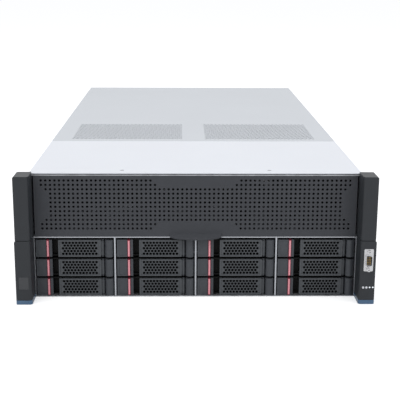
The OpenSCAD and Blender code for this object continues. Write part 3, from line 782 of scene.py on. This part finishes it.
@dataclass
class Front:
    """Grille, ears, tips and what stands in the ears."""

    lamp: float = 1.1 * MM
    button_step: float = 4.4 * MM
    inlay_in: float = 11 * MM
    inlay_half: float = 6.7 * MM
    inlay_foot: float = 21.3 * MM
    inlay_head: float = 38.7 * MM
    inlay_depths: tuple[float, float] = (0.1 * MM, 0.38 * MM)

    def build(self) -> None:
        """Dresses the front and adds the lamps, the inlay and the port's block."""
        dress("front_grille", GRILLE)
        for node in ("upper_ears", "lower_ear_left", "lower_ear_right"):
            dress(node, EAR, 0.3 * MM)
        dress("ear_tips", TIP, 0.3 * MM)
        dress("vga_port", NICKEL, 0.1 * MM)
        dress("power_button", BUTTON, 0.2 * MM)
        dress("id_button", BUTTON, 0.2 * MM)
        self.lamps()
        self.inlay()
        self.port_block()

    def lamps(self) -> None:
        """Adds the two lenses beside the buttons."""
        low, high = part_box("id_button")
        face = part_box("lower_ear_right")[0].y
        middle = (low + high) / 2
        form = Form(LAMP)
        profile = [(self.lamp, -1.2 * MM), (self.lamp, 0.1 * MM), (self.lamp * 0.7, 0.35 * MM), (0.0, 0.45 * MM)]
        for k in (1, 2):
            form.lathe(profile, stand((middle.x + k * self.button_step, face, middle.z), Axis.Y, True), 20)
        form.piece("front_lamps", "case", "button_white")

    def inlay(self) -> None:
        """Adds the plain inlay in the left ear."""
        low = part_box("lower_ear_left")[0]
        x = low.x + self.inlay_in
        face, back = self.inlay_depths
        form = Form(INLAY)
        form.block(
            (x - self.inlay_half, low.y + face, self.inlay_foot),
            (x + self.inlay_half, low.y + back, self.inlay_head),
        )
        form.piece("ear_inlay", "case", "ear_plastic", 0.1 * MM)

    def port_block(self) -> None:
        """Adds the dark block with its contacts in the display port."""
        low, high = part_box("vga_port")
        middle = (low + high) / 2
        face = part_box("lower_ear_right")[0].y
        form = Form(BLACK, GOLD)
        outline = [(-3.4, -6.4), (3.4, -5.6), (3.4, 5.6), (-3.4, 6.4)]
        spots = [(x * MM, y * MM) for x, y in outline]
        place = Matrix.Translation((middle.x, face - 0.85 * MM, middle.z)) @ Matrix.Rotation(math.radians(90), 4, "X")
        form.prism(spots, 2.4 * MM, place)
        for row in range(3):
            for k in range(5):
                spot = (middle.x + (row - 1) * 1.9 * MM, face - 3.2 * MM, middle.z + (k - 2) * 2.2 * MM)
                form.lathe(stud_profile(0.45 * MM, 0.3 * MM), stand(spot, Axis.Y, True), 10, 1)
        form.piece("display_port_block", "case", "port_nickel", 0.1 * MM)


@dataclass
class DriveBays:
    """Cage, backplane and the twelve carriers with their levers and latches."""

    # Distance behind the cage's front where the carriers' near-black painted shade begins.
    painted_shade_from: float = 6.2 * MM
    rails_from: float = 24.7 * MM
    lid_rise: float = 0.35 * MM
    latch_face: float = 2.2 * MM
    face_rise: float = 0.3 * MM
    face_sunk: float = 0.5 * MM
    face_inset: float = 0.8 * MM
    lid_inset: float = 6 * MM
    lid_cut: float = 14 * MM
    lid_set: float = 33 * MM
    lid_screw_in: float = 3 * MM

    def build(self) -> None:
        """Dresses the cage and the carriers, with painted shade behind the carriers' fronts, and adds the drives'
        lids and screws.
        """
        dress("drive_cage", CAGE)
        dress("drive_backplane", BOARD)
        names = sorted(name for name in frame["nodes"] if name.startswith("drive_carrier_"))
        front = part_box("drive_cage")[0].y
        # From a little behind their fronts back to the rails, the carriers are painted near-black as shade; the
        # drive's casting lies beyond.
        behind = Zoned("painted_shade_and_drive", (13, 13, 14), near=PAINTED_SHADE, far=DRIVE, level=front + self.rails_from)
        two_part = Zoned("carrier_and_drive", (67, 70, 75), near=CARRIER, far=behind, level=front + self.painted_shade_from)
        for name in names:
            number = name.rsplit("_", 1)[1]
            dress(name, two_part, 0.35 * MM)
            dress(f"carrier_lever_{number}", LEVER, 0.25 * MM)
            dress(f"carrier_latch_{number}", LATCH, 0.4 * MM)
            self.drive_lid(number, *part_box(name))
            self.latch_front(number, *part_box(f"carrier_latch_{number}"))

    def latch_front(self, number: str, low: Vector, high: Vector) -> None:
        """Adds the raised bright face of one latch.

        Args:
            number: Number of the carrier.
            low: Lowest corner of the latch.
            high: Highest corner of the latch.
        """
        form = Form(LATCH_FACE)
        middle, half = (low.x + high.x) / 2, self.latch_face / 2
        form.block(
            (middle - half, low.y - self.face_rise, low.z + self.face_inset),
            (middle + half, low.y + self.face_sunk, high.z - self.face_inset),
        )
        form.piece(f"latch_face_{number}", f"carrier_latch_{number}", "latch_red", 0.12 * MM)

    def drive_lid(self, number: str, low: Vector, high: Vector) -> None:
        """Adds the stamped lid and the screws of one drive.

        Args:
            number: Number of the carrier.
            low: Lowest corner of the carrier.
            high: Highest corner of the carrier.
        """
        form = Form(DRIVE, SCREW)
        cut, step = self.lid_cut, self.lid_screw_in
        x0, x1 = low.x + self.lid_inset, high.x - self.lid_inset
        y0, y1 = low.y + self.lid_set, high.y - self.lid_inset
        outline = [
            (x0 + cut, y0),
            (x1 - cut, y0),
            (x1, y0 + cut),
            (x1, y1 - cut),
            (x1 - cut, y1),
            (x0 + cut, y1),
            (x0, y1 - cut),
            (x0, y0 + cut),
        ]
        form.prism(outline, self.lid_rise, Matrix.Translation((0, 0, high.z)))
        for x in (x0 + step, x1 - step):
            for y in (y0 + step, y1 - step):
                form.lathe(screw_profile(2.2 * MM, 0.4 * MM, 0.9 * MM), stand((x, y, high.z), Axis.Z), 16, 1)
        form.piece(f"drive_lid_{number}", f"drive_carrier_{number}", "cage_zinc", 0.15 * MM)


@dataclass
class Cooling:
    """Fan wall, its rotors and the processor heatsinks."""

    cap: float = 19 * MM

    def build(self) -> None:
        """Dresses the fans and the heatsinks and adds the hubs' caps."""
        dress("fan_wall", FAN)
        dress("cpu_heatsinks", HEATSINK)
        for name in sorted(node for node in frame["nodes"] if node.startswith("fan_rotor_")):
            dress(name, BLACK, 0.3 * MM)
            low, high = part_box(name)
            middle = (low + high) / 2
            form = Form(INLAY)
            profile = [
                (self.cap, 0.0),
                (self.cap * 0.96, 0.5 * MM),
                (self.cap * 0.3, 0.6 * MM),
                (self.cap * 0.26, 0.2 * MM),
                (0.0, 0.2 * MM),
            ]
            form.lathe(profile, stand((middle.x, low.y, middle.z), Axis.Y, True), 40)
            form.piece(f"hub_cap_{name[-1]}", name, "fan_plastic")


@dataclass
class Boards:
    """Processor board, its memory and the graphics cards."""

    seed: int = 7
    board_top: float = 7.6 * MM
    card_board_top: float = 4.65 * MM

    def build(self) -> None:
        """Dresses the boards and the cards and adds the parts soldered on them."""
        low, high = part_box("system_board")
        top = low.z + self.board_top
        socket = Zoned("socket_and_module", (26, 74, 52), near=BLACK, far=BOARD, axis=Axis.Z, level=top + 8.05 * MM)
        zones = Zoned("board_and_sockets", (26, 74, 52), near=BOARD, far=socket, axis=Axis.Z, level=top + 0.05 * MM)
        dress("system_board", zones)
        self.cards()
        self.board_parts(low, high, top)

    def cards(self) -> None:
        """Dresses the cards: board below, shrouds above, brackets at the rear."""
        low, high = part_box("gpu_cards")
        body = Zoned("card_and_bracket", (38, 39, 43), near=SHROUD, far=ZINC, axis=Axis.Y, level=high.y - 1.1 * MM)
        level = low.z + self.card_board_top
        dress("gpu_cards", Zoned("board_and_cards", (38, 39, 43), near=BOARD, far=body, axis=Axis.Z, level=level))

    def board_parts(self, low: Vector, high: Vector, top: float) -> None:
        """Adds chips, capacitors and sockets in front of and behind the processors.

        Args:
            low: Lowest corner of the board.
            high: Highest corner of the board.
            top: Height of the board's upper face.
        """
        chance = random.Random(self.seed)
        form = Form(BLACK, HEATSINK, GOLD)
        can = [(3.2 * MM, 0.0), (3.2 * MM, 8.4 * MM), (2.8 * MM, 8.8 * MM), (0.0, 8.8 * MM)]
        for k in range(14):
            x = low.x + 14 * MM + k * (high.x - low.x - 28 * MM) / 13
            for y in (low.y + 14 * MM, low.y + 24 * MM):
                form.lathe(can, stand((x, y, top), Axis.Z), 16, 1)
        for k in range(10):
            x = low.x + (0.06 + 0.09 * k) * (high.x - low.x)
            wide = chance.choice((8, 12, 17)) * MM
            y = high.y - chance.uniform(50, 95) * MM
            form.block((x, y, top), (x + wide, y + wide, top + 1.4 * MM))
        for k in range(4):
            x = low.x + (0.1 + 0.22 * k) * (high.x - low.x)
            form.block((x, high.y - 30 * MM, top), (x + 44 * MM, high.y - 20 * MM, top + 9 * MM))
            near, far = (x + 2 * MM, high.y - 26 * MM, top + 9 * MM), (x + 42 * MM, high.y - 24 * MM, top + 9.3 * MM)
            form.block(near, far, 2)
        form.piece("board_parts", "case", "circuit_green", 0.2 * MM)


@dataclass
class Supplies:
    """Power supplies with their handles, inlets and fan guards."""

    guard_wire: float = 0.6 * MM
    guard_arm: float = 16.8 * MM
    handle_proud: float = 18 * MM

    def build(self) -> None:
        """Dresses each supply and adds its guard, its contacts and its catch."""
        for name in sorted(node for node in frame["nodes"] if node.startswith("power_supply_")):
            low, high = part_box(name)
            rear = high.y - self.handle_proud
            finish = Zoned("supply_and_handle", (172, 174, 178), near=SUPPLY, far=BLACK, level=rear + 0.1 * MM)
            dress(name, finish, 0.3 * MM)
            self.guard(name, low, high, rear)

    def guard(self, name: str, low: Vector, high: Vector, rear: float) -> None:
        """Adds the wire guard, the inlet's contacts, the catch and the lamp of one supply.

        Args:
            name: Name of the supply's solid and body.
            low: Lowest corner of the supply.
            high: Highest corner of the supply.
            rear: Where its rear face is.
        """
        middle_z = (low.z + high.z) / 2
        centre = (high.x - 20 * MM, rear - 1 * MM, middle_z)
        wire, arm = self.guard_wire, self.guard_arm
        form = Form(SCREW, BLACK, GOLD, LATCH, LAMP)
        for radius in (4, 8, 12, 16):
            form.ring(radius * MM, wire, stand(centre, Axis.Y))
        for turn in (0, 45, 90, 135):
            place = stand(centre, Axis.Y) @ Matrix.Rotation(math.radians(turn), 4, "Z")
            form.block((-arm, -wire, -wire), (arm, wire, wire), 0, place)
        for dx, dz in ((-4.5, 1.6), (4.5, 1.6), (0, -2.6)):
            x, z = low.x + (20 + dx) * MM, low.z + (19 + dz) * MM
            form.block((x - 1 * MM, rear - 6 * MM, z - 0.5 * MM), (x + 1 * MM, rear - 2.5 * MM, z + 0.5 * MM), 2)
        form.block((low.x + 3 * MM, rear, high.z - 6 * MM), (low.x + 9 * MM, rear + 9 * MM, high.z - 2 * MM), 3)
        lens = [(1.2 * MM, 0), (1.2 * MM, 0.3 * MM), (0.0, 0.5 * MM)]
        form.lathe(lens, stand((low.x + 39 * MM, rear, high.z - 5 * MM), Axis.Y), 16, 4)
        form.piece(f"supply_fittings_{name[-1]}", name, "supply_steel", 0.15 * MM)


@dataclass
class Studio:
    """Camera, lamps, floor and background."""

    spot: Point = (-0.0196, -1.6665, 0.4449)
    pitch: float = 0.2456049
    yaw: float = 0.0204733
    roll: float = 0.00537415
    lens: float = 84.57
    floor_lift: float = 0.5
    surround: float = 0.55

    def build(self) -> None:
        """Makes the whole studio."""
        self.camera()
        self.background()
        self.floor()
        self.lamp("key", (-1.5, -2.6, 2.3), (0, -0.3, 0.1), 2.2, 26)
        self.lamp("fill", (2.0, -2.2, 1.6), (0, -0.3, 0.1), 2.2, 16)
        self.lamp("overhead", (0.0, -0.1, 2.6), (0, -0.1, 0.1), 1.8, 16)

    def camera(self) -> None:
        """Makes the camera."""
        data = bpy.data.cameras.new("camera")
        data.lens = self.lens
        data.sensor_width = 36.0
        data.clip_start = 0.05
        data.clip_end = 60.0
        made = bpy.data.objects.new("camera", data)
        bpy.context.scene.collection.objects.link(made)
        level = math.cos(self.pitch)
        ahead = Vector((math.sin(self.yaw) * level, math.cos(self.yaw) * level, -math.sin(self.pitch)))
        right = Vector((math.cos(self.yaw), -math.sin(self.yaw), 0))
        up = right.cross(ahead)
        across = math.cos(self.roll) * right + math.sin(self.roll) * up
        over = -math.sin(self.roll) * right + math.cos(self.roll) * up
        turn = Matrix((across, over, -ahead)).transposed().to_4x4()
        made.matrix_world = Matrix.Translation(self.spot) @ turn
        bpy.context.scene.camera = made

    def background(self) -> None:
        """Makes the even white surroundings."""
        scene = bpy.context.scene
        scene.view_settings.view_transform = "Standard"
        world = bpy.data.worlds.new("studio")
        scene.world = world
        world.use_nodes = True
        nodes, links = world.node_tree.nodes, world.node_tree.links
        nodes.clear()
        output = nodes.new("ShaderNodeOutputWorld")
        mixed = nodes.new("ShaderNodeMixShader")
        plain, seen = nodes.new("ShaderNodeBackground"), nodes.new("ShaderNodeBackground")
        plain.inputs["Strength"].default_value = self.surround
        plain.inputs["Color"].default_value = (0.97, 0.985, 1.0, 1)
        seen.inputs["Strength"].default_value = 1.0
        seen.inputs["Color"].default_value = (1, 1, 1, 1)
        path = nodes.new("ShaderNodeLightPath")
        either, any_of = nodes.new("ShaderNodeMath"), nodes.new("ShaderNodeMath")
        either.operation = any_of.operation = "MAXIMUM"
        links.new(path.outputs["Is Camera Ray"], either.inputs[0])
        links.new(path.outputs["Is Glossy Ray"], either.inputs[1])
        links.new(either.outputs[0], any_of.inputs[0])
        links.new(path.outputs["Is Transmission Ray"], any_of.inputs[1])
        links.new(any_of.outputs[0], mixed.inputs[0])
        links.new(plain.outputs[0], mixed.inputs[1])
        links.new(seen.outputs[0], mixed.inputs[2])
        links.new(mixed.outputs[0], output.inputs["Surface"])

    def floor(self) -> None:
        """Makes the pale floor, which keeps the server's shadow."""
        made = bpy.data.materials.new("studio_floor")
        sheet = Sheet(made)
        dull = sheet.node("ShaderNodeBsdfDiffuse")
        dull.inputs["Color"].default_value = (0.9, 0.9, 0.905, 1)
        lift = sheet.node("ShaderNodeEmission")
        lift.inputs["Color"].default_value = (1, 1, 1, 1)
        path = sheet.node("ShaderNodeLightPath")
        amount = sheet.node("ShaderNodeMath", operation="MULTIPLY")
        amount.inputs[1].default_value = self.floor_lift
        sheet.join(path.outputs["Is Camera Ray"], amount.inputs[0])
        sheet.join(amount.outputs[0], lift.inputs["Strength"])
        total = sheet.node("ShaderNodeAddShader")
        sheet.join(dull.outputs[0], total.inputs[0])
        sheet.join(lift.outputs[0], total.inputs[1])
        sheet.join(total.outputs[0], sheet.output.inputs["Surface"])
        mesh = bpy.data.meshes.new("floor")
        reach, height = 18.0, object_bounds()[0][2] - 0.0002
        edges = ((-reach, -reach), (reach, -reach), (reach, reach), (-reach, reach))
        mesh.from_pydata([(x, y, height) for x, y in edges], [], [(0, 1, 2, 3)])
        mesh.materials.append(made)
        ground = bpy.data.objects.new("floor", mesh)
        bpy.context.scene.collection.objects.link(ground)
        ground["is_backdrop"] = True

    def lamp(self, name: str, spot: Point, target: Point, size: float, power: float) -> None:
        """Makes one soft square lamp.

        Args:
            name: Name of the lamp.
            spot: Where it hangs, in metres.
            target: Where it points.
            size: Width of the lamp in metres.
            power: Its power in watts.
        """
        data = bpy.data.lights.new(name, "AREA")
        data.shape = "SQUARE"
        data.size = size
        data.energy = power
        made = bpy.data.objects.new(name, data)
        bpy.context.scene.collection.objects.link(made)
        made.location = spot
        made.rotation_euler = (Vector(target) - Vector(spot)).to_track_quat("-Z", "Y").to_euler()


def corners(bounds: tuple) -> list[list[float]]:
    """Turns two corners into plain lists of numbers."""
    return [[float(value) for value in corner] for corner in bounds]


def main() -> None:
    """Builds the studio and the server's sub-assemblies in order."""
    logging.basicConfig(level=logging.INFO, format="%(message)s")
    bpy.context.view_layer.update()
    Studio().build()
    Covers().build()
    Chassis().build()
    Front().build()
    DriveBays().build()
    Cooling().build()
    Boards().build()
    Supplies().build()


if __name__ == "__main__":
    main()
